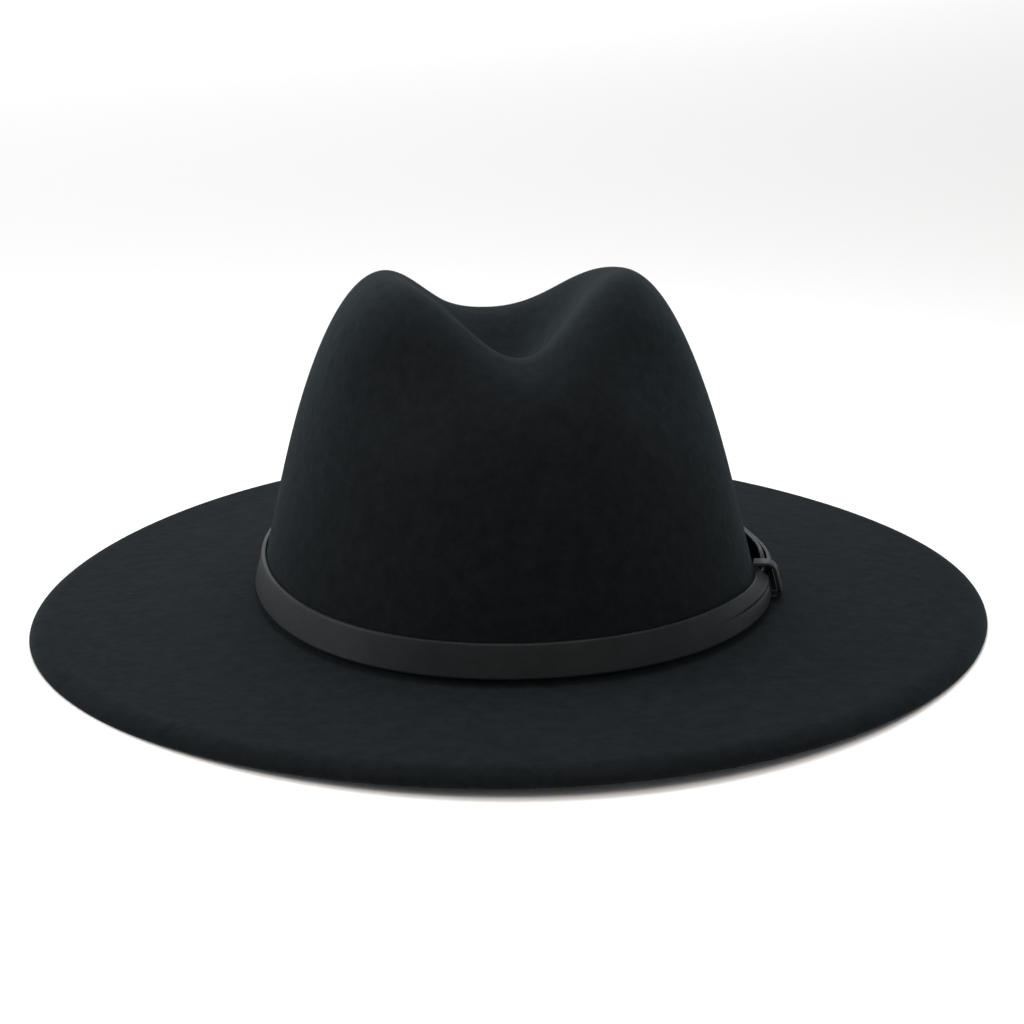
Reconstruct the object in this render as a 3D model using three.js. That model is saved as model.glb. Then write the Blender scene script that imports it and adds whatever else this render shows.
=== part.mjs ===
// A wide-brimmed wool felt fedora with a narrow strap band, knotted at the wearer's left side.
// Millimetres, +Z up. The wearer faces -Y. The hat rests on its brim edge at z = 0.

import * as THREE from "three";
import { mergeVertices } from "three/addons/utils/BufferGeometryUtils.js";

// Felt body: crown and brim, blocked from one piece
const FELT_THICKNESS = 2.4;
const CROWN_HALF_WIDTH = 84.2;
const CROWN_HALF_LENGTH = 101.3;
const CROWN_RISE = 144;
const CROWN_FOOT_HEIGHT = 12.3;
const TOP_FALL = 15.7;
const BREAK_RADIUS = 2.2;

const BRIM_HALF_WIDTH = 163.2;
const BRIM_HALF_LENGTH = 172.7;
const ROLL_WIDTH = 8;
const ROLL_DROP = 5;
const EDGE_LIFT = 3.8;

// Strap band, its keeper loop and its loose end
const BAND_HEIGHT = 11;
const BAND_THICKNESS = 1.5;
const BAND_STANDOFF = 1.6;
const STANDOFF_AHEAD = 62;
const STANDOFF_BEHIND = 34;
const REAR_STANDOFF = 1.5;
const REAR_SETBACK = 16;
const REAR_SPREAD = 18;
const FOLD_REACH = 4.6;
const FOLD_AHEAD = 30;
const FOLD_BEHIND = 3;
const FOLD_LEAD = 4;
const SQUEEZE_BEHIND = 6;
const TAIL_HEIGHT = 9;
const TAIL_THICKNESS = 1.4;
const TAIL_LENGTH = 46;
const TAIL_RISE = 0.7;
const TAIL_SLACK = 0.7;
const KEEPER_WIDTH = 6;
const KEEPER_THICKNESS = 1.3;
const KEEPER_BEND = 2.2;
const KEEPER_REACH = 7.6;
const KNOT_SETBACK = 31;
const CLEARANCE = 0.3;

// Facets
const AROUND = 64;
const CROWN_RINGS = 18;
const BREAK_RINGS = 3;
const BRIM_RINGS = 4;
const ROLL_RINGS = 4;
const TAIL_STEPS = 10;
const KEEPER_BEND_STEPS = 4;

// How far each side's wall leans in over the whole rise, and how square its shoulder is
const WALL_LEAN_START = 0.92;
const wallProfiles = {
  side: { lean: 0.343, shoulder: 3.45 },
  front: { lean: 0.259, shoulder: 2.84 },
  back: { lean: 0.197, shoulder: 2.01 },
};
const FRONT_TO_BACK_BLEND = 0.7;

// The centre dent, as shares of the crown's rise, half width and half length
const dent = {
  depth: 0.479,
  across: 0.008,
  along: 0.025,
  skew: 0.038,
  reachFront: 0.618,
  reachBack: 0.503,
  station: 0.592,
  roundAcross: 2.12,
  roundAlong: 2.28,
  fadeFrom: 0.3,
  fadeTo: 0.8,
};
const dentHalfWidths = { front: 0.312, middle: 0.372, back: 0.317 };

// Finger pinches at the front of the crown, as shares of the same sizes
const pinches = [
  { across: -0.475, along: -0.573, rise: 0.594, depth: 0.065, reach: 0.285, height: 0.139 },
  { across: 0.475, along: -0.573, rise: 0.594, depth: 0.065, reach: 0.285, height: 0.139 },
];
const PINCH_INWARD = 0.75;
const PINCH_BACKWARD = 0.66;

// Plan ovals: a share added between the axes makes an ellipse fuller, or leaner if negative
const CROWN_FULLNESS = 0.045;
const BRIM_FULLNESS = -0.034;

// The stretch of brim edge that rests at each side, as a share of the half length
const REST_SHARE = 0.2;
const LIFT_POWER = 2;

const felt = new THREE.MeshStandardMaterial({ color: 0x14191b, roughness: 0.95, metalness: 0 });
const strap = new THREE.MeshStandardMaterial({ color: 0x2a2c2d, roughness: 0.7, metalness: 0 });

function smooth(from, to, value) {
  return THREE.MathUtils.smoothstep(value, from, to);
}

function ovalPoint(angle, halfWidth, halfLength, fullness) {
  const cos = Math.cos(angle);
  const sin = Math.sin(angle);
  return {
    x: halfWidth * cos * (1 + fullness * sin * sin),
    y: halfLength * sin * (1 + fullness * cos * cos),
  };
}

// Share of the foot's size that the wall keeps at a share of the rise
function wallShare(profile, rise) {
  const lean = 1 - profile.lean * Math.pow(rise, WALL_LEAN_START);
  return lean * Math.sqrt(Math.max(0, 1 - Math.pow(rise, profile.shoulder)));
}

function dentDrop(x, y) {
  const fromCentre = y - dent.along * CROWN_HALF_LENGTH;
  const toStation = Math.abs(fromCentre) / (dent.station * CROWN_HALF_LENGTH);
  const end = fromCentre < 0 ? dentHalfWidths.front : dentHalfWidths.back;
  const reach = fromCentre < 0 ? dent.reachFront : dent.reachBack;
  const widening = smooth(0, 1, toStation);
  const middle = dentHalfWidths.middle;
  const halfWidth = CROWN_HALF_WIDTH * (middle + (end - middle) * widening);
  const across = Math.abs(x - dent.across * CROWN_HALF_WIDTH - dent.skew * y) / halfWidth;
  const along = Math.abs(fromCentre) / (reach * CROWN_HALF_LENGTH);
  const falloff = Math.pow(across, dent.roundAcross) + Math.pow(along, dent.roundAlong);
  return dent.depth * CROWN_RISE * Math.exp(-falloff);
}

function pressPinch(point, pinch) {
  const dx = point.x / CROWN_HALF_WIDTH - pinch.across;
  const dy = (point.y / CROWN_HALF_LENGTH - pinch.along) * (CROWN_HALF_LENGTH / CROWN_HALF_WIDTH);
  const dz = (point.z - CROWN_FOOT_HEIGHT) / CROWN_RISE - pinch.rise;
  const distance = (dx * dx + dy * dy) / pinch.reach ** 2 + (dz * dz) / pinch.height ** 2;
  const press = pinch.depth * CROWN_HALF_WIDTH * Math.exp(-distance);
  point.x -= Math.sign(pinch.across) * PINCH_INWARD * press;
  point.y += PINCH_BACKWARD * press;
}

// Outer face of the crown: rise 0 is its foot, rise 1 the apex, before the dent drops it
function crownPoint(angle, rise) {
  const toBack = smooth(-FRONT_TO_BACK_BLEND, FRONT_TO_BACK_BLEND, Math.sin(angle));
  const front = wallShare(wallProfiles.front, rise);
  const back = wallShare(wallProfiles.back, rise);
  const halfWidth = CROWN_HALF_WIDTH * wallShare(wallProfiles.side, rise);
  const halfLength = CROWN_HALF_LENGTH * (front + (back - front) * toBack);
  const { x, y } = ovalPoint(angle, halfWidth, halfLength, CROWN_FULLNESS);
  const fall = TOP_FALL * (y / CROWN_HALF_LENGTH) * rise * rise;
  const drop = dentDrop(x, y) * smooth(dent.fadeFrom, dent.fadeTo, rise);
  const point = new THREE.Vector3(x, y, CROWN_FOOT_HEIGHT + CROWN_RISE * rise - fall - drop);
  for (const pinch of pinches) {
    pressPinch(point, pinch);
  }
  return point;
}

// Height of the brim's cut edge: flat at both sides, lifted towards the front and back
function edgeHeight(angle) {
  const along = Math.abs(Math.sin(angle));
  const beyond = Math.max(0, (along - REST_SHARE) / (1 - REST_SHARE));
  return EDGE_LIFT * Math.pow(beyond, LIFT_POWER);
}

const BRIM_FOOT_HEIGHT = CROWN_FOOT_HEIGHT - BREAK_RADIUS;

// The small hollow curve where the crown breaks into the brim
function breakPoint(angle, share) {
  const turn = (share * Math.PI) / 2;
  const out = BREAK_RADIUS * (1 - Math.cos(turn));
  const { x, y } = ovalPoint(angle, CROWN_HALF_WIDTH + out, CROWN_HALF_LENGTH + out, CROWN_FULLNESS);
  return new THREE.Vector3(x, y, CROWN_FOOT_HEIGHT - BREAK_RADIUS * Math.sin(turn));
}

function brimPoint(angle, share) {
  const innerWidth = CROWN_HALF_WIDTH + BREAK_RADIUS;
  const innerLength = CROWN_HALF_LENGTH + BREAK_RADIUS;
  const halfWidth = THREE.MathUtils.lerp(innerWidth, BRIM_HALF_WIDTH - ROLL_WIDTH, share);
  const halfLength = THREE.MathUtils.lerp(innerLength, BRIM_HALF_LENGTH - ROLL_WIDTH, share);
  const fullness = THREE.MathUtils.lerp(CROWN_FULLNESS, BRIM_FULLNESS, share);
  const { x, y } = ovalPoint(angle, halfWidth, halfLength, fullness);
  const rollTop = edgeHeight(angle) + ROLL_DROP;
  return new THREE.Vector3(x, y, THREE.MathUtils.lerp(BRIM_FOOT_HEIGHT, rollTop, share));
}

// The brim edge rolls over until it points straight down
function rollPoint(angle, share) {
  const turn = (share * Math.PI) / 2;
  const inset = ROLL_WIDTH * (1 - Math.sin(turn));
  const { x, y } = ovalPoint(angle, BRIM_HALF_WIDTH - inset, BRIM_HALF_LENGTH - inset, BRIM_FULLNESS);
  return new THREE.Vector3(x, y, edgeHeight(angle) + ROLL_DROP * Math.cos(turn));
}

// Stretches of the outer face from the apex out to the cut edge
const stretches = [
  { place: (angle, share) => crownPoint(angle, Math.cos((share * Math.PI) / 2)), rings: CROWN_RINGS },
  { place: breakPoint, rings: BREAK_RINGS },
  { place: brimPoint, rings: BRIM_RINGS },
  { place: rollPoint, rings: ROLL_RINGS },
];

const NUDGE = 1e-3;

// Outward direction of a stretch of the outer face, from two short steps along it
function outwardAt(place, angle, share) {
  const before = Math.max(share - NUDGE, NUDGE);
  const after = Math.min(share + NUDGE, 1);
  const downhill = place(angle, after).sub(place(angle, before));
  const sideways = place(angle + NUDGE, share).sub(place(angle - NUDGE, share));
  return downhill.cross(sideways).normalize();
}

function innerPoint(place, angle, share) {
  const point = place(angle, share);
  return point.addScaledVector(outwardAt(place, angle, share), -FELT_THICKNESS);
}

function angleOf(index) {
  return (index * 2 * Math.PI) / AROUND;
}

function closedGeometry(points, triangles) {
  const geometry = new THREE.BufferGeometry();
  const coordinates = points.flatMap((point) => point.toArray());
  geometry.setAttribute("position", new THREE.Float32BufferAttribute(coordinates, 3));
  geometry.setIndex(triangles.flat());
  const merged = mergeVertices(geometry);
  merged.computeVertexNormals();
  return merged;
}

// Joins closed rings of equal length, each to the next, as two triangles for each side
function ringBand(first, second, length) {
  const triangles = [];
  for (let i = 0; i < length; i += 1) {
    const next = (i + 1) % length;
    triangles.push([first + i, second + i, second + next]);
    triangles.push([first + i, second + next, first + next]);
  }
  return triangles;
}

function feltRings(pointAt) {
  const rings = [];
  for (const { place, rings: count } of stretches) {
    for (let step = 1; step <= count; step += 1) {
      const ring = [];
      for (let i = 0; i < AROUND; i += 1) {
        ring.push(pointAt(place, angleOf(i), step / count));
      }
      rings.push(ring);
    }
  }
  return rings;
}

function makeFeltBody() {
  const crown = stretches[0].place;
  const apex = crown(0, 0);
  const innerApex = apex.clone();
  innerApex.addScaledVector(outwardAt(crown, 0, NUDGE), -FELT_THICKNESS);
  const outer = feltRings((place, angle, share) => place(angle, share));
  const inner = feltRings(innerPoint).reverse();
  const rings = [...outer, ...inner];
  const points = [apex, ...rings.flat(), innerApex];
  const triangles = [];
  for (let r = 0; r + 1 < rings.length; r += 1) {
    triangles.push(...ringBand(1 + r * AROUND, 1 + (r + 1) * AROUND, AROUND));
  }
  const lastRing = 1 + (rings.length - 1) * AROUND;
  for (let i = 0; i < AROUND; i += 1) {
    const next = (i + 1) % AROUND;
    triangles.push([0, 1 + i, 1 + next]);
    triangles.push([lastRing + i, points.length - 1, lastRing + next]);
  }
  return closedGeometry(points, triangles);
}

// Where the strap wraps the crown: its foot stands a clearance above the crown's foot
const BAND_FOOT_HEIGHT = CROWN_FOOT_HEIGHT + CLEARANCE;
const KNOT_ANGLE = -Math.asin(KNOT_SETBACK / CROWN_HALF_LENGTH);

// A point outside the crown's wall, at a height above the band's foot and a distance off the felt
function besideCrown(angle, height, off) {
  const rise = Math.max(0, BAND_FOOT_HEIGHT - CROWN_FOOT_HEIGHT + height) / CROWN_RISE;
  const wall = crownPoint(angle, rise);
  const outward = new THREE.Vector3(wall.x / CROWN_HALF_WIDTH ** 2, wall.y / CROWN_HALF_LENGTH ** 2, 0);
  return wall.addScaledVector(outward.normalize(), off);
}

// 1 at the knot, falling to 0 over one distance ahead of it and another behind it
function nearKnot(angle, ahead, behind) {
  const around = THREE.MathUtils.euclideanModulo(angle - KNOT_ANGLE + Math.PI, 2 * Math.PI);
  const away = (around - Math.PI) * CROWN_HALF_LENGTH;
  return Math.exp(-((away / (away < 0 ? ahead : behind)) ** 2));
}

// The band's middle line from its lower to its upper edge: share of its width, then height and
// distance off the felt where the knot folds it, as shares of its height and of the fold's reach
const bandLine = [
  { width: 0, height: 0, off: 0.78 },
  { width: 0.42, height: 0.4, off: 0.91 },
  { width: 0.5, height: 0.46, off: 0.76 },
  { width: 0.6, height: 0.55, off: 1 },
  { width: 1, height: 0.69, off: 0.2 },
];

// How far the band stands off the felt round the knot, most of all just behind it
function standoff(angle) {
  const rear = nearKnot(angle - REAR_SETBACK / CROWN_HALF_LENGTH, REAR_SPREAD, REAR_SPREAD);
  return BAND_STANDOFF * nearKnot(angle, STANDOFF_AHEAD, STANDOFF_BEHIND) + REAR_STANDOFF * rear;
}

// The band's middle line at an angle, as points of distance off the felt (x) and height (y)
function bandLineAt(angle) {
  const fold = nearKnot(angle + FOLD_LEAD / CROWN_HALF_LENGTH, FOLD_AHEAD, FOLD_BEHIND);
  const squeeze = nearKnot(angle, FOLD_AHEAD, SQUEEZE_BEHIND);
  const flat = CLEARANCE + BAND_THICKNESS / 2 + standoff(angle);
  return bandLine.map(({ width, height, off }) => {
    const x = THREE.MathUtils.lerp(flat, FOLD_REACH * off, fold);
    const y = BAND_HEIGHT * THREE.MathUtils.lerp(width, height, squeeze);
    return new THREE.Vector2(x, y);
  });
}

// The band's closed section at an angle: both faces, half a thickness off its middle line
function bandSectionAt(angle) {
  const line = bandLineAt(angle);
  const face = (side) =>
    line.map((point, i) => {
      const before = line[Math.max(i - 1, 0)];
      const after = line[Math.min(i + 1, line.length - 1)];
      const along = after.clone().sub(before).normalize();
      const out = new THREE.Vector2(along.y, -along.x);
      return point.clone().addScaledVector(out, (side * BAND_THICKNESS) / 2);
    });
  return [...face(1), ...face(-1).reverse()];
}

function makeBand() {
  const sections = [];
  for (let i = 0; i < AROUND; i += 1) {
    const angle = angleOf(i);
    sections.push(bandSectionAt(angle).map(({ x, y }) => besideCrown(angle, y, x)));
  }
  const corners = sections[0].length;
  const triangles = [];
  for (let i = 0; i < AROUND; i += 1) {
    triangles.push(...ringBand(i * corners, ((i + 1) % AROUND) * corners, corners));
  }
  return closedGeometry(sections.flat(), triangles);
}

// Corners of a flat strap's section, as shares of its half height and half thickness
const strapSection = [
  { height: -1, out: -0.6 },
  { height: -1, out: 0.6 },
  { height: -0.86, out: 1 },
  { height: 0.86, out: 1 },
  { height: 1, out: 0.6 },
  { height: 1, out: -0.6 },
  { height: 0.86, out: -1 },
  { height: -0.86, out: -1 },
];

// A flat strap through stations that each have a centre, a height vector and an outward vector
function makeStrap(stations) {
  const corners = strapSection.length;
  const points = [];
  const triangles = [];
  for (const { centre, height, out } of stations) {
    for (const corner of strapSection) {
      const point = centre.clone().addScaledVector(height, corner.height);
      points.push(point.addScaledVector(out, corner.out));
    }
  }
  for (let s = 0; s + 1 < stations.length; s += 1) {
    triangles.push(...ringBand(s * corners, (s + 1) * corners, corners));
  }
  const last = (stations.length - 1) * corners;
  for (let i = 1; i + 1 < corners; i += 1) {
    triangles.push([0, i, i + 1]);
    triangles.push([last, last + i + 1, last + i]);
  }
  return closedGeometry(points, triangles);
}

// Directions at the band's foot: out from the crown, and up its leaning wall for each mm of height
function directionsAt(angle) {
  const foot = besideCrown(angle, 0, 0);
  const out = besideCrown(angle, 0, 1).sub(foot);
  const up = besideCrown(angle, BAND_HEIGHT, 0).sub(foot).divideScalar(BAND_HEIGHT);
  return { foot, out, up };
}

const TAIL_CENTRE_HEIGHT = CLEARANCE + TAIL_HEIGHT / 2;

// The loose end lies along the outside of the band, from inside the keeper to the back
function makeTail() {
  const start = KNOT_ANGLE + KEEPER_WIDTH / 4 / CROWN_HALF_LENGTH;
  const stations = [];
  for (let step = 0; step <= TAIL_STEPS; step += 1) {
    const share = step / TAIL_STEPS;
    const angle = start + (TAIL_LENGTH * share) / CROWN_HALF_LENGTH;
    const { foot, out, up } = directionsAt(angle);
    const apart = THREE.MathUtils.lerp(TAIL_SLACK, CLEARANCE, share);
    const off = CLEARANCE + BAND_THICKNESS + standoff(angle) + apart + TAIL_THICKNESS / 2;
    foot.addScaledVector(up, TAIL_CENTRE_HEIGHT + TAIL_RISE * share);
    stations.push({
      centre: foot.addScaledVector(out, off),
      height: up.multiplyScalar(TAIL_HEIGHT / 2),
      out: out.multiplyScalar(TAIL_THICKNESS / 2),
    });
  }
  return makeStrap(stations);
}

// The keeper's bent path round the band and its loose end, with heights from the band's foot
function keeperPath() {
  const inner = CLEARANCE + KEEPER_THICKNESS / 2;
  const top = TAIL_CENTRE_HEIGHT + TAIL_HEIGHT / 2 + CLEARANCE + KEEPER_THICKNESS / 2;
  const foot = -CLEARANCE - KEEPER_THICKNESS / 2;
  const corners = [
    { bendHeight: top - KEEPER_BEND, firstTurn: 0 },
    { bendHeight: foot + KEEPER_BEND, firstTurn: 1 },
  ];
  const path = [{ off: inner, height: top, turn: 0 }];
  for (const { bendHeight, firstTurn } of corners) {
    for (let step = 0; step <= KEEPER_BEND_STEPS; step += 1) {
      const turn = firstTurn + step / KEEPER_BEND_STEPS;
      const angle = (turn * Math.PI) / 2;
      const off = KEEPER_REACH - KEEPER_BEND * (1 - Math.sin(angle));
      path.push({ off, height: bendHeight + KEEPER_BEND * Math.cos(angle), turn });
    }
  }
  path.push({ off: inner, height: foot, turn: 2 });
  return path;
}

function makeKeeper() {
  const { foot, out, up } = directionsAt(KNOT_ANGLE);
  const alongBand = up.clone().cross(out).normalize();
  const stations = keeperPath().map(({ off, height, turn }) => {
    const facing = (turn * Math.PI) / 2;
    const outer = up.clone().multiplyScalar(Math.cos(facing)).addScaledVector(out, Math.sin(facing));
    return {
      centre: foot.clone().addScaledVector(up, height).addScaledVector(out, off),
      height: alongBand.clone().multiplyScalar(KEEPER_WIDTH / 2),
      out: outer.setLength(KEEPER_THICKNESS / 2),
    };
  });
  return makeStrap(stations);
}

function addPiece(group, name, geometry, material) {
  const mesh = new THREE.Mesh(geometry, material.clone());
  mesh.name = name;
  group.add(mesh);
}

const fedora = new THREE.Group();
addPiece(fedora, "felt_body", makeFeltBody(), felt);
addPiece(fedora, "hat_band", makeBand(), strap);
addPiece(fedora, "band_keeper", makeKeeper(), strap);
addPiece(fedora, "band_tail", makeTail(), strap);

export default fedora;
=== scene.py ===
"""Looks of a wide-brimmed wool felt fedora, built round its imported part.

Metres, +Z up. The wearer faces -Y and the knot is on the +X side.
"""

import math

import bpy
import numpy as np
from mathutils import Matrix, Vector


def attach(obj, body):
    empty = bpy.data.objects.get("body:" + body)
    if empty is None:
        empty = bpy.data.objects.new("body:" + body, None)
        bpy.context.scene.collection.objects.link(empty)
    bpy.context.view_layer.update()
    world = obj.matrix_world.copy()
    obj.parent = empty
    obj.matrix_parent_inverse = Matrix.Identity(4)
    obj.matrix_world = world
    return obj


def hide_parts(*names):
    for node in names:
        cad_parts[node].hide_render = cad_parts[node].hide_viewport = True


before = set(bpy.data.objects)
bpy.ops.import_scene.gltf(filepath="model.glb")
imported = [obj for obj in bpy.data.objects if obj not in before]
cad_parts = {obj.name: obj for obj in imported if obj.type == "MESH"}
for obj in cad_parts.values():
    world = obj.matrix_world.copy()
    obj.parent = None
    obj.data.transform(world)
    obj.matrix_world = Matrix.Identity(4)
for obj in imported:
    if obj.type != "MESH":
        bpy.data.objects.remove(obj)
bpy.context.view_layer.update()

MM = 0.001

# Felt body
FELT_THICKNESS = 2.4 * MM
CROWN_HALF_WIDTH = 84.2 * MM
CROWN_HALF_LENGTH = 101.3 * MM
CROWN_RISE = 144 * MM
CROWN_FOOT_HEIGHT = 12.3 * MM
TOP_FALL = 15.7 * MM
BREAK_RADIUS = 2.2 * MM
BRIM_HALF_WIDTH = 163.2 * MM
BRIM_HALF_LENGTH = 172.7 * MM
ROLL_WIDTH = 8 * MM
ROLL_DROP = 5 * MM
EDGE_LIFT = 3.8 * MM
EDGE_ROUNDING = 0.6 * MM

# Strap band, its keeper loop and its loose end
CLEARANCE = 0.3 * MM
BAND_HEIGHT = 11 * MM
BAND_THICKNESS = 1.5 * MM
BAND_STANDOFF = 1.6 * MM
STANDOFF_AHEAD = 62 * MM
STANDOFF_BEHIND = 34 * MM
REAR_STANDOFF = 1.5 * MM
REAR_SETBACK = 16 * MM
REAR_SPREAD = 18 * MM
FOLD_REACH = 4.6 * MM
FOLD_AHEAD = 30 * MM
FOLD_BEHIND = 3 * MM
FOLD_LEAD = 4 * MM
SQUEEZE_BEHIND = 6 * MM
TAIL_HEIGHT = 9 * MM
TAIL_THICKNESS = 1.4 * MM
TAIL_LENGTH = 46 * MM
TAIL_RISE = 0.7 * MM
TAIL_SLACK = 0.7 * MM
KEEPER_WIDTH = 6 * MM
KEEPER_THICKNESS = 1.3 * MM
KEEPER_BEND = 2.2 * MM
KEEPER_REACH = 7.6 * MM
KNOT_SETBACK = 31 * MM

# How far each side's wall leans in over the whole rise, and how square its shoulder is
WALLS = {"side": (0.343, 3.45), "front": (0.259, 2.84), "back": (0.197, 2.01)}
WALL_LEAN_START = 0.92
FRONT_TO_BACK_BLEND = 0.7

# The centre dent, as shares of the crown's rise, half width and half length
DENT_DEPTH = 0.479
DENT_ACROSS = 0.008
DENT_ALONG = 0.025
DENT_SKEW = 0.038
DENT_HALF_WIDTHS = {"front": 0.312, "middle": 0.372, "back": 0.317}
DENT_REACHES = {"front": 0.618, "back": 0.503}
DENT_STATION = 0.592
DENT_ROUND_ACROSS = 2.12
DENT_ROUND_ALONG = 2.28
DENT_FADE_FROM = 0.3
DENT_FADE_TO = 0.8

# Finger pinches at the front of the crown: place across, along and up as shares of the same sizes
PINCHES = ((-0.475, -0.573, 0.594), (0.475, -0.573, 0.594))
PINCH_DEPTH = 0.065
PINCH_REACH = 0.285
PINCH_HEIGHT = 0.139
PINCH_INWARD = 0.75
PINCH_BACKWARD = 0.66

# Plan ovals: a share added between the axes makes an ellipse fuller, or leaner if negative
CROWN_FULLNESS = 0.045
BRIM_FULLNESS = -0.034

# The stretch of brim edge that rests at each side, as a share of the half length
REST_SHARE = 0.2
LIFT_POWER = 2

# Points in each ring of the felt, and the small step that finds a direction on its face
AROUND = 288
NUDGE = 1e-3


def smooth(low, high, value):
    t = np.clip((value - low) / (high - low), 0, 1)
    return t * t * (3 - 2 * t)


def lerp(a, b, t):
    return a + (b - a) * t


def oval(angle, half_width, half_length, fullness):
    cos, sin = np.cos(angle), np.sin(angle)
    return (
        half_width * cos * (1 + fullness * sin * sin),
        half_length * sin * (1 + fullness * cos * cos),
    )


def wall_share(side, rise):
    lean, shoulder = WALLS[side]
    return (1 - lean * rise**WALL_LEAN_START) * np.sqrt(np.maximum(0, 1 - rise**shoulder))


def dent_drop(x, y):
    """How far the centre dent lowers the top at a place of the undented crown."""
    from_centre = y - DENT_ALONG * CROWN_HALF_LENGTH
    front = from_centre < 0
    end = np.where(front, DENT_HALF_WIDTHS["front"], DENT_HALF_WIDTHS["back"])
    reach = np.where(front, DENT_REACHES["front"], DENT_REACHES["back"])
    widening = smooth(0, 1, np.abs(from_centre) / (DENT_STATION * CROWN_HALF_LENGTH))
    half_width = CROWN_HALF_WIDTH * lerp(DENT_HALF_WIDTHS["middle"], end, widening)
    across = np.abs(x - DENT_ACROSS * CROWN_HALF_WIDTH - DENT_SKEW * y) / half_width
    along = np.abs(from_centre) / (reach * CROWN_HALF_LENGTH)
    return DENT_DEPTH * CROWN_RISE * np.exp(-(across**DENT_ROUND_ACROSS + along**DENT_ROUND_ALONG))


def press_pinch(x, y, z, pinch):
    """Where a finger pinch pushes a place of the crown, inwards and back."""
    across, along, rise = pinch
    dx = x / CROWN_HALF_WIDTH - across
    dy = (y / CROWN_HALF_LENGTH - along) * (CROWN_HALF_LENGTH / CROWN_HALF_WIDTH)
    dz = (z - CROWN_FOOT_HEIGHT) / CROWN_RISE - rise
    distance = (dx * dx + dy * dy) / PINCH_REACH**2 + dz * dz / PINCH_HEIGHT**2
    press = PINCH_DEPTH * CROWN_HALF_WIDTH * np.exp(-distance)
    return x - math.copysign(PINCH_INWARD, across) * press, y + PINCH_BACKWARD * press


def crown_at(angle, rise):
    """Outer face of the crown: rise 0 is its foot, rise 1 the apex, before the dent drops it."""
    to_back = smooth(-FRONT_TO_BACK_BLEND, FRONT_TO_BACK_BLEND, np.sin(angle))
    front, back = wall_share("front", rise), wall_share("back", rise)
    half_width = CROWN_HALF_WIDTH * wall_share("side", rise)
    half_length = CROWN_HALF_LENGTH * lerp(front, back, to_back)
    x, y = oval(angle, half_width, half_length, CROWN_FULLNESS)
    fall = TOP_FALL * (y / CROWN_HALF_LENGTH) * rise * rise
    drop = dent_drop(x, y) * smooth(DENT_FADE_FROM, DENT_FADE_TO, rise)
    z = CROWN_FOOT_HEIGHT + CROWN_RISE * rise - fall - drop
    for pinch in PINCHES:
        x, y = press_pinch(x, y, z, pinch)
    return np.stack([x, y, z], -1)


def crown(angle, share):
    return crown_at(angle, np.cos(share * math.pi / 2))


def edge_height(angle):
    """Height of the brim's cut edge: flat at both sides, lifted towards the front and back."""
    beyond = np.maximum(0, (np.abs(np.sin(angle)) - REST_SHARE) / (1 - REST_SHARE))
    return EDGE_LIFT * beyond**LIFT_POWER


def crown_break(angle, share):
    """The small hollow curve where the crown breaks into the brim."""
    turn = share * math.pi / 2
    out = BREAK_RADIUS * (1 - np.cos(turn))
    x, y = oval(angle, CROWN_HALF_WIDTH + out, CROWN_HALF_LENGTH + out, CROWN_FULLNESS)
    return np.stack([x, y, CROWN_FOOT_HEIGHT - BREAK_RADIUS * np.sin(turn) + 0 * x], -1)


def brim(angle, share):
    half_width = lerp(CROWN_HALF_WIDTH + BREAK_RADIUS, BRIM_HALF_WIDTH - ROLL_WIDTH, share)
    half_length = lerp(CROWN_HALF_LENGTH + BREAK_RADIUS, BRIM_HALF_LENGTH - ROLL_WIDTH, share)
    x, y = oval(angle, half_width, half_length, lerp(CROWN_FULLNESS, BRIM_FULLNESS, share))
    z = lerp(CROWN_FOOT_HEIGHT - BREAK_RADIUS, edge_height(angle) + ROLL_DROP, share)
    return np.stack([x, y, z], -1)


def roll(angle, share):
    """The brim edge, turning over until it points almost straight down."""
    turn = share * math.acos(EDGE_ROUNDING / ROLL_DROP)
    inset = ROLL_WIDTH * (1 - np.sin(turn))
    x, y = oval(angle, BRIM_HALF_WIDTH - inset, BRIM_HALF_LENGTH - inset, BRIM_FULLNESS)
    return np.stack([x, y, edge_height(angle) + ROLL_DROP * np.cos(turn)], -1)


def outward(place, angle, share):
    """Outward direction of a stretch of the outer face, from two short steps along it."""
    before, after = np.maximum(share - NUDGE, NUDGE), np.minimum(share + NUDGE, 1)
    downhill = place(angle, after) - place(angle, before)
    sideways = place(angle + NUDGE, share) - place(angle - NUDGE, share)
    normal = np.cross(downhill, sideways)
    return normal / np.linalg.norm(normal, axis=-1, keepdims=True)


def felt_rings(stretches, depth):
    """Rings of points from the apex out to the cut edge, a depth inside the outer face."""
    angle = np.arange(AROUND) * 2 * math.pi / AROUND
    rings = []
    for place, count in stretches:
        for step in range(1, count + 1):
            share = step / count
            rings.append(place(angle, share) - depth * outward(place, angle, share))
    return rings


def cut_edge_rings(outer, inner, count):
    """Rings across the cut edge, with its two corners rounded."""
    rings = []
    floor = np.minimum(outer[:, 2], inner[:, 2]) - EDGE_ROUNDING
    for step in range(1, count):
        share = step / count
        ring = lerp(outer, inner, share)
        corner = min(share, 1 - share) * FELT_THICKNESS
        reach = max(0, 1 - corner / EDGE_ROUNDING)
        ring[:, 2] = np.maximum(floor, 0) + EDGE_ROUNDING * (1 - math.sqrt(1 - reach * reach))
        rings.append(ring)
    return rings


def add_mesh(name, points, faces, material):
    mesh = bpy.data.meshes.new(name)
    mesh.from_pydata(np.asarray(points).tolist(), [], faces)
    mesh.materials.append(material)
    mesh.shade_smooth()
    piece = bpy.data.objects.new(name, mesh)
    bpy.context.scene.collection.objects.link(piece)
    return piece


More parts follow.
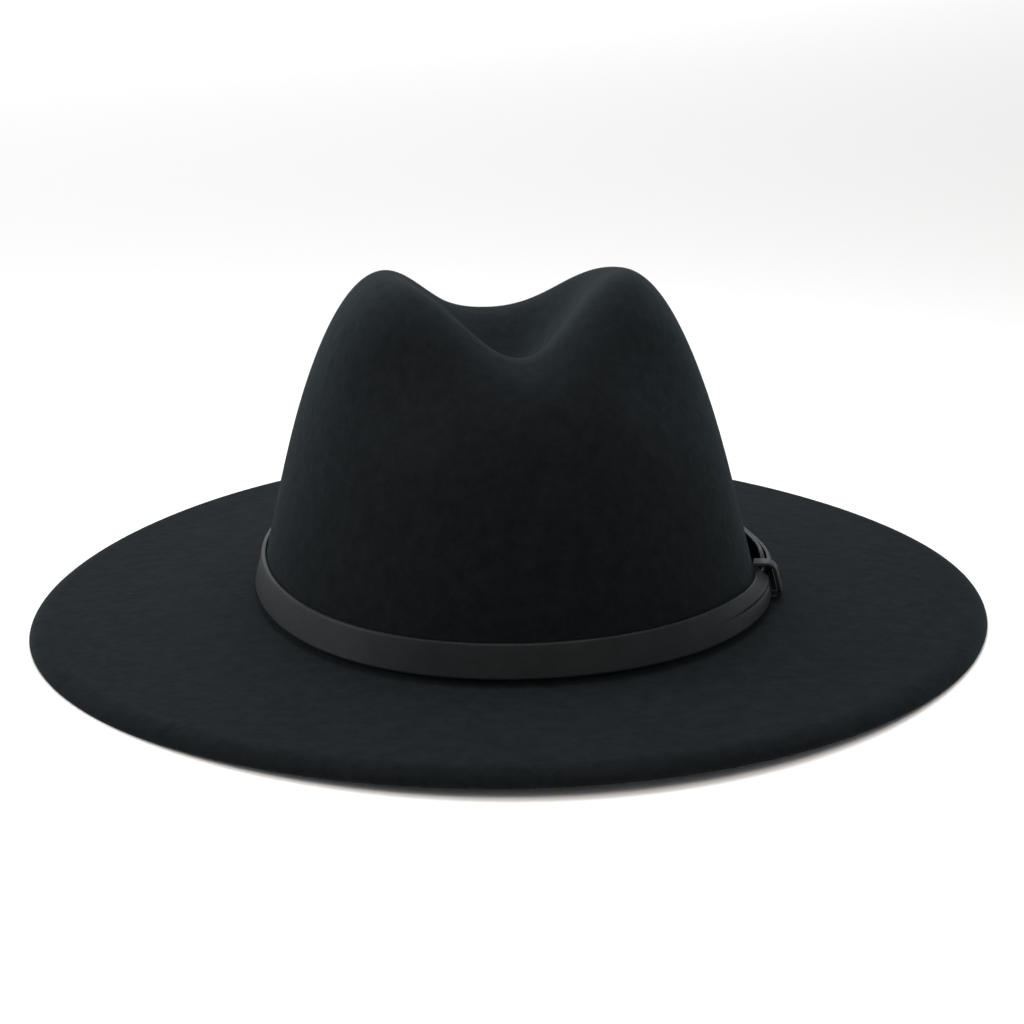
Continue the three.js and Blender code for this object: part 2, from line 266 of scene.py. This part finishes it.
def grid_faces(rows, columns, closed_rows=False):
    """Quads between rows of points, each row a closed ring."""
    faces = []
    for r in range(rows if closed_rows else rows - 1):
        a, b = r * columns, ((r + 1) % rows) * columns
        for i in range(columns):
            j = (i + 1) % columns
            faces.append((a + i, b + i, b + j, a + j))
    return faces


# Materials


def new_material(name):
    material = bpy.data.materials.new(name)
    material.use_nodes = True
    tree = material.node_tree
    return material, tree, tree.nodes["Principled BSDF"]


def noise(tree, place, scale, detail=3.0, roughness=0.5):
    node = tree.nodes.new("ShaderNodeTexNoise")
    node.inputs["Scale"].default_value = scale
    node.inputs["Detail"].default_value = detail
    node.inputs["Roughness"].default_value = roughness
    tree.links.new(place, node.inputs["Vector"])
    return node.outputs["Fac"]


def ramp(tree, value, stops):
    node = tree.nodes.new("ShaderNodeValToRGB")
    elements = node.color_ramp.elements
    while len(elements) < len(stops):
        elements.new(0.5)
    for element, (position, colour) in zip(elements, stops):
        element.position = position
        element.color = (*colour, 1)
    tree.links.new(value, node.inputs["Fac"])
    return node.outputs["Color"]


def math_node(tree, operation, first, second):
    node = tree.nodes.new("ShaderNodeMath")
    node.operation = operation
    for socket, value in zip(node.inputs, (first, second)):
        if isinstance(value, float):
            socket.default_value = value
        else:
            tree.links.new(value, socket)
    return node.outputs["Value"]


def bump(tree, height, strength, distance):
    node = tree.nodes.new("ShaderNodeBump")
    node.inputs["Strength"].default_value = strength
    node.inputs["Distance"].default_value = distance
    tree.links.new(height, node.inputs["Height"])
    return node.outputs["Normal"]


def make_felt():
    material, tree, shader = new_material("wool felt")
    place = tree.nodes.new("ShaderNodeTexCoord").outputs["Object"]
    mottle = noise(tree, place, 190.0, 5.0, 0.8)
    colour = ramp(tree, mottle, ((0.36, (0.0039, 0.0047, 0.0052)), (0.64, (0.0065, 0.0075, 0.0084))))
    tree.links.new(colour, shader.inputs["Base Color"])
    shader.inputs["Roughness"].default_value = 0.95
    shader.inputs["Specular IOR Level"].default_value = 0.05
    nap = ramp(tree, mottle, ((0.36, (0.022, 0.022, 0.022)), (0.64, (0.030, 0.030, 0.030))))
    tree.links.new(nap, shader.inputs["Sheen Weight"])
    shader.inputs["Sheen Roughness"].default_value = 0.55
    shader.inputs["Sheen Tint"].default_value = (0.58, 0.88, 1.0, 1)
    fuzz = noise(tree, place, 1500.0, 2.0)
    lumps = noise(tree, place, 260.0, 3.0, 0.6)
    height = math_node(tree, "ADD", math_node(tree, "MULTIPLY", fuzz, 0.35), lumps)
    tree.links.new(bump(tree, height, 0.5, 0.0004), shader.inputs["Normal"])
    return material


def make_strap():
    material, tree, shader = new_material("strap")
    place = tree.nodes.new("ShaderNodeTexCoord").outputs["Object"]
    wear = noise(tree, place, 90.0, 4.0, 0.6)
    colour = ramp(tree, wear, ((0.3, (0.0032, 0.0045, 0.0054)), (0.7, (0.0071, 0.0089, 0.0102))))
    tree.links.new(colour, shader.inputs["Base Color"])
    shader.inputs["Roughness"].default_value = 0.5
    shader.inputs["Specular IOR Level"].default_value = 0.21
    grain = noise(tree, place, 1100.0, 3.0, 0.6)
    tree.links.new(bump(tree, grain, 0.25, 0.0002), shader.inputs["Normal"])
    return material


felt = make_felt()
strap = make_strap()


# Felt body

# Stretches of the outer and the inner face, from the apex out, each with its number of rings
OUTER = ((crown, 120), (crown_break, 8), (brim, 30), (roll, 18))
INNER = ((crown, 70), (crown_break, 6), (brim, 16), (roll, 8))
CUT_EDGE_STEPS = 8


def make_felt_body():
    outer = felt_rings(OUTER, 0)
    inner = felt_rings(INNER, FELT_THICKNESS)[::-1]
    rings = [*outer, *cut_edge_rings(outer[-1], inner[0], CUT_EDGE_STEPS), *inner]
    apex = crown(np.zeros(1), np.zeros(1))[0]
    points = np.concatenate([*rings, [apex, apex - (0, 0, FELT_THICKNESS)]])
    faces = grid_faces(len(rings), AROUND)
    top, under = len(points) - 2, len(points) - 1
    last = (len(rings) - 1) * AROUND
    for i in range(AROUND):
        j = (i + 1) % AROUND
        faces.append((top, i, j))
        faces.append((under, last + j, last + i))
    return add_mesh("felt", points, faces, felt)


# Strap pieces

BAND_FOOT_HEIGHT = CROWN_FOOT_HEIGHT + CLEARANCE
TAIL_CENTRE_HEIGHT = CLEARANCE + TAIL_HEIGHT / 2
KNOT_ANGLE = -math.asin(KNOT_SETBACK / CROWN_HALF_LENGTH)
BAND_AROUND = 480


def outward_of_oval(x, y):
    way = np.stack([x / CROWN_HALF_WIDTH**2, y / CROWN_HALF_LENGTH**2, 0 * x], -1)
    return way / np.linalg.norm(way, axis=-1, keepdims=True)


def near_knot(angle, ahead, behind):
    """1 at the knot, fading over one distance ahead of it and another behind it."""
    away = (angle - KNOT_ANGLE + math.pi) % (2 * math.pi) - math.pi
    away = away * CROWN_HALF_LENGTH
    return np.exp(-((away / np.where(away < 0, ahead, behind)) ** 2))


def standoff(angle):
    """How far the band stands off the felt round the knot, most of all just behind it."""
    rear = near_knot(angle - REAR_SETBACK / CROWN_HALF_LENGTH, REAR_SPREAD, REAR_SPREAD)
    return BAND_STANDOFF * near_knot(angle, STANDOFF_AHEAD, STANDOFF_BEHIND) + REAR_STANDOFF * rear


# The band's middle line from its lower to its upper edge: share of its width, then height and
# distance off the felt where the knot folds it, as shares of its height and of the fold's reach
BAND_LINE = (
    (0.00, 0.00, 0.78),
    (0.15, 0.14, 0.84),
    (0.30, 0.28, 0.90),
    (0.42, 0.40, 0.91),
    (0.47, 0.43, 0.86),
    (0.50, 0.46, 0.74),
    (0.53, 0.49, 0.86),
    (0.58, 0.54, 0.98),
    (0.64, 0.57, 0.96),
    (0.80, 0.63, 0.62),
    (1.00, 0.69, 0.20),
)
BAND_LINE_POINTS = 33

# Points at each end of the middle line that the rounded edge stands in for, and its squareness
POINTS_AT_EDGE = 4
EDGE_SQUARENESS = 0.6


def rounded_end(turn):
    """Cosine and sine of a turn, pushed out towards a square corner."""
    cos, sin = math.cos(turn), math.sin(turn)
    return math.copysign(abs(cos) ** EDGE_SQUARENESS, cos), abs(sin) ** EDGE_SQUARENESS


def strap_outline(line, thickness, steps=8):
    """Closed outline round a middle line of shape (points, around, 2), with rounded ends."""
    along = np.gradient(line, axis=0)
    along /= np.linalg.norm(along, axis=-1, keepdims=True)
    side = np.stack([along[..., 1], -along[..., 0]], -1)
    half = thickness / 2
    middle = range(POINTS_AT_EDGE, len(line) - POINTS_AT_EDGE)
    turns = [rounded_end(math.pi * step / steps) for step in range(steps + 1)]
    top, foot = line[-1] - along[-1] * half, line[0] + along[0] * half
    outline = [line[i] + side[i] * half for i in middle]
    outline += [top + (side[-1] * cos + along[-1] * sin) * half for cos, sin in turns]
    outline += [line[i] - side[i] * half for i in reversed(middle)]
    outline += [foot - (side[0] * cos + along[0] * sin) * half for cos, sin in turns]
    return np.array(outline)


def beside_crown(angle, height, off):
    """Places outside the wall, at heights above the band's foot and distances off the felt."""
    rise = np.maximum(0, (height + BAND_FOOT_HEIGHT - CROWN_FOOT_HEIGHT) / CROWN_RISE)
    wall = crown_at(angle + 0 * rise, rise)
    return wall + outward_of_oval(wall[..., 0], wall[..., 1]) * np.asarray(off)[..., None]


def make_band():
    shares, heights, offs = np.array(BAND_LINE).T
    width = np.linspace(0, 1, BAND_LINE_POINTS)[:, None]
    folded_height = BAND_HEIGHT * np.interp(width, shares, heights)
    folded_off = FOLD_REACH * np.interp(width, shares, offs)
    angle = np.arange(BAND_AROUND) * 2 * math.pi / BAND_AROUND
    fold = near_knot(angle + FOLD_LEAD / CROWN_HALF_LENGTH, FOLD_AHEAD, FOLD_BEHIND)
    squeeze = near_knot(angle, FOLD_AHEAD, SQUEEZE_BEHIND)
    off = lerp(CLEARANCE + BAND_THICKNESS / 2 + standoff(angle), folded_off, fold)
    height = lerp(BAND_HEIGHT * width, folded_height, squeeze)
    outline = strap_outline(np.stack([off, height], -1), BAND_THICKNESS)
    points = beside_crown(angle[None, :], outline[..., 1], outline[..., 0]).reshape(-1, 3)
    return add_mesh("band", points, grid_faces(len(outline), BAND_AROUND, True), strap)


def sweep(name, stations, width, thickness, steps=8):
    """A flat strap through stations of centre, direction across its width and outward direction."""
    half, inset = thickness / 2, (width - thickness) / 2
    section = []
    for sign in (1, -1):
        for step in range(steps + 1):
            cos, sin = rounded_end(math.pi * step / steps)
            section.append((sign * (inset + half * sin), sign * half * cos))
    points = [c + across * w + out * o for c, across, out in stations for w, o in section]
    corners = len(section)
    faces = grid_faces(len(stations), corners)
    last = (len(stations) - 1) * corners
    faces.append(tuple(reversed(range(corners))))
    faces.append(tuple(last + i for i in range(corners)))
    return add_mesh(name, points, faces, strap)


def directions_at(angle):
    """The band's foot, the way out from the crown and the way up its leaning wall."""
    foot = beside_crown(angle, 0.0, 0.0)
    out = (beside_crown(angle, 0.0, MM) - foot) / MM
    up = (beside_crown(angle, BAND_HEIGHT, 0.0) - foot) / BAND_HEIGHT
    return foot, out, up


def make_tail(steps=40):
    """The loose end lies along the outside of the band, from inside the keeper to the back."""
    stations = []
    for step in range(steps + 1):
        share = step / steps
        angle = KNOT_ANGLE + (KEEPER_WIDTH / 4 + TAIL_LENGTH * share) / CROWN_HALF_LENGTH
        foot, out, up = directions_at(angle)
        apart = lerp(TAIL_SLACK, CLEARANCE, share)
        off = CLEARANCE + BAND_THICKNESS + standoff(angle) + apart + TAIL_THICKNESS / 2
        centre = foot + out * off + up * (TAIL_CENTRE_HEIGHT + TAIL_RISE * share)
        stations.append((centre, up, out))
    return sweep("tail", stations, TAIL_HEIGHT, TAIL_THICKNESS)


def make_keeper(steps=10):
    """The keeper loop, bent round the band and its loose end."""
    inner = CLEARANCE + KEEPER_THICKNESS / 2
    top = TAIL_CENTRE_HEIGHT + TAIL_HEIGHT / 2 + CLEARANCE + KEEPER_THICKNESS / 2
    foot = -CLEARANCE - KEEPER_THICKNESS / 2
    path = [(inner, top, 0)]
    for bend_height, first in ((top - KEEPER_BEND, 0), (foot + KEEPER_BEND, 1)):
        for step in range(steps + 1):
            turn = (first + step / steps) * math.pi / 2
            off = KEEPER_REACH - KEEPER_BEND * (1 - math.sin(turn))
            path.append((off, bend_height + KEEPER_BEND * math.cos(turn), turn))
    path.append((inner, foot, math.pi))
    base, out, up = directions_at(KNOT_ANGLE)
    along = np.cross(up, out)
    stations = []
    for off, height, turn in path:
        facing = up * math.cos(turn) + out * math.sin(turn)
        stations.append((base + out * off + up * height, along, facing))
    return sweep("keeper", stations, KEEPER_WIDTH, KEEPER_THICKNESS)


felt_body = make_felt_body()
band = make_band()
keeper = make_keeper()
tail = make_tail()

for piece, slot, node in (
    (felt_body, "felt", "felt_body"),
    (band, "strap", "hat_band"),
    (keeper, "strap", "band_keeper"),
    (tail, "strap", "band_tail"),
):
    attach(piece, "root")
    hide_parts(node)


# Camera, floor and light

LENS_MM = 124.615
CAMERA_DISTANCE = 1.2
CAMERA_SHIFT = (0.0069, -0.0685)
TARGET = Vector((0, 0, 0.0614))
AZIMUTH, ELEVATION, ROLL = (math.radians(v) for v in (-9.37, 15.88, -1.06))
FLOOR_REACH = 6.0
LIGHT_AIM = Vector((0, 0, 0.06))


def add_camera():
    data = bpy.data.cameras.new("camera")
    data.sensor_width = 36
    data.lens = LENS_MM
    data.shift_x, data.shift_y = CAMERA_SHIFT
    data.clip_start = 0.01
    camera = bpy.data.objects.new("camera", data)
    flat = math.cos(ELEVATION)
    back = Vector((math.sin(AZIMUTH) * flat, -math.cos(AZIMUTH) * flat, math.sin(ELEVATION)))
    right = Vector((math.cos(AZIMUTH), math.sin(AZIMUTH), 0))
    up = back.cross(right)
    across = right * math.cos(ROLL) + up * math.sin(ROLL)
    upward = up * math.cos(ROLL) - right * math.sin(ROLL)
    turn = Matrix((across, upward, back)).transposed().to_4x4()
    camera.matrix_world = Matrix.Translation(TARGET + back * CAMERA_DISTANCE) @ turn
    bpy.context.scene.collection.objects.link(camera)
    bpy.context.scene.camera = camera


def add_light(name, place, size, watts, colour=(1, 1, 1)):
    data = bpy.data.lights.new(name, "AREA")
    data.color = colour
    data.shape = "RECTANGLE"
    data.size, data.size_y = size
    data.energy = watts
    light = bpy.data.objects.new(name, data)
    light.location = place
    light.rotation_mode = "QUATERNION"
    light.rotation_quaternion = (LIGHT_AIM - Vector(place)).to_track_quat("-Z", "Y")
    bpy.context.scene.collection.objects.link(light)


def add_floor():
    material, _, shader = new_material("floor")
    shader.inputs["Base Color"].default_value = (0.93, 0.93, 0.93, 1)
    shader.inputs["Roughness"].default_value = 1.0
    shader.inputs["Specular IOR Level"].default_value = 0.0
    far = FLOOR_REACH
    corners = [(-far, -far, 0), (far, -far, 0), (far, far, 0), (-far, far, 0)]
    add_mesh("floor", corners, [(0, 1, 2, 3)], material)


add_camera()
add_floor()
add_light("top light", (0, 0, 1.6), (1.6, 1.6), 3.6)
add_light("back light", (0, 1.6, 0.5), (1.6, 0.6), 5.0)
add_light("left light", (-1.5, 0.3, 0.7), (1.0, 1.0), 9.5)
add_light("front light", (0, -0.8, 1.3), (1.2, 0.9), 5.8, (1.0, 0.82, 0.64))
add_light("near light", (0.01, 0.05, 0.4), (0.25, 0.2), 1.25, (0.86, 0.94, 1.0))

world = bpy.data.worlds.new("world")
bpy.context.scene.world = world
world.use_nodes = True
sky = world.node_tree.nodes["Background"]
sky.inputs["Color"].default_value = (0.97, 0.98, 1.0, 1)
sky.inputs["Strength"].default_value = 0.56

bpy.context.scene.view_settings.view_transform = "Standard"
